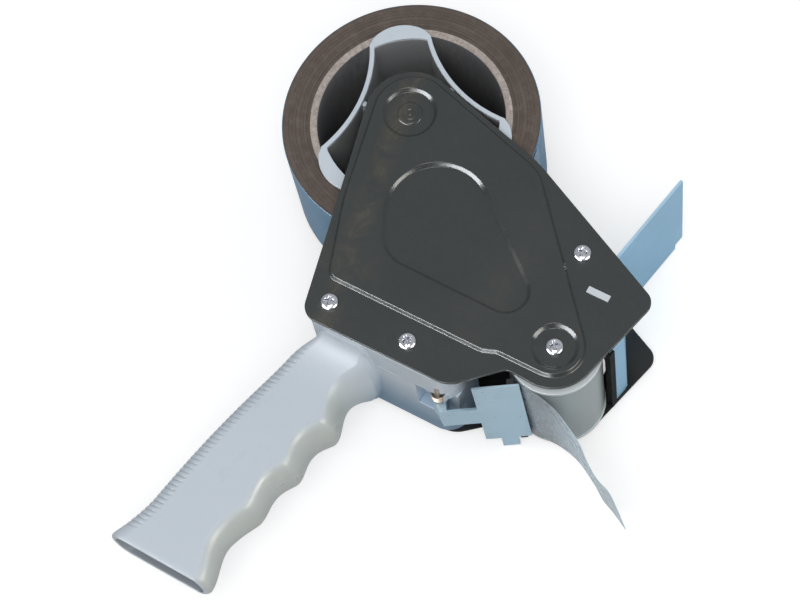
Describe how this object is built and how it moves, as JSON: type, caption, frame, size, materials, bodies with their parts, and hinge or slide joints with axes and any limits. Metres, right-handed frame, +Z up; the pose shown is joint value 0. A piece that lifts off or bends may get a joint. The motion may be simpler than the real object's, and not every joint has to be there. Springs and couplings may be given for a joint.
{
  "type": "packing tape dispenser",
  "caption": "Hand-held packing tape dispenser with a braked hub, roller, serrated cutter, sprung tape retainer and finger-grip handle, loaded with a roll of tape.",
  "frame": {"origin": "centre of the hub axle's end face, in the plane that the dispenser rests on when it lies on its side", "axes": "+Z up along the hub axis towards the near side plate, +X forward along the base edge of the side plates, +Y away from the handle"},
  "size_m": [0.2084, 0.2555, 0.0638],
  "materials": {
    "dark_paint": "satin dark grey paint on pressed steel",
    "grey_moulding": "fine matt grey moulding",
    "bright_steel": "bright zinc-plated steel",
    "light_moulding": "light grey satin moulding",
    "dark_moulding": "dark satin moulding",
    "felt": "pressed felt",
    "cardboard": "plain wound board",
    "brown_tape": "wound film, fine rings on the side, glossy on the outside",
    "loose_tape": "glossy film",
    "white_moulding": "white satin moulding",
    "roller_sleeve": "smooth pale grey sleeve",
    "plated_sheet": "smooth zinc-plated sheet",
    "dark_sheet": "dark painted sheet",
    "black_rubber": "matt black rubber"
  },
  "bodies": {
    "frame": {"near_side_plate": "dark_paint", "far_side_plate": "dark_paint", "handle": "grey_moulding", "hub_axle": "bright_steel", "hub_washer": "bright_steel", "brake_pad": "felt", "brake_washer": "bright_steel", "brake_spring": "bright_steel", "tape_strip": "loose_tape", "roller_axle": "bright_steel", "front_spacer": "bright_steel", "front_plate": "plated_sheet", "blade_mount": "dark_sheet", "blade": "plated_sheet", "mount_rivets": "bright_steel", "retainer_pin": "bright_steel", "retainer_spring": "bright_steel", "near_screws": "bright_steel", "far_screws": "bright_steel"},
    "hub": {"hub_spool": "dark_moulding", "spool_rim": "light_moulding", "hub_end_disc": "dark_moulding", "tape_core": "cardboard", "tape_roll": "brown_tape"},
    "roller": {"roller_core": "white_moulding", "roller_sleeve": "roller_sleeve"},
    "knob": {"brake_knob": "dark_moulding"},
    "retainer": {"retainer_plate": "plated_sheet", "retainer_pad": "black_rubber"}
  },
  "joints": [
    {"name": "hub_spin", "type": "hinge", "parent": "frame", "child": "hub", "pos_m": [0, 0, 0.0319], "axis": [0, 0, 1], "continuous": true},
    {"name": "roller_spin", "type": "hinge", "parent": "frame", "child": "roller", "pos_m": [0.09899, -0.0622, 0.0319], "axis": [0, 0, 1], "continuous": true},
    {"name": "brake_knob_turn", "type": "hinge", "parent": "frame", "child": "knob", "pos_m": [0, 0, 0.004], "axis": [0, 0, 1], "range_deg": [-180, 180]},
    {"name": "retainer_swing", "type": "hinge", "parent": "frame", "child": "retainer", "pos_m": [0.0636, -0.0936, 0.0319], "axis": [0, 0, 1], "range_deg": [-40, 0], "stiffness_Nm_per_rad": 0.06, "springref_deg": 20.05}
  ],
  "couplings": [
    {"joint": "roller_spin", "follows": "hub_spin", "ratio": -2.9}
  ]
}
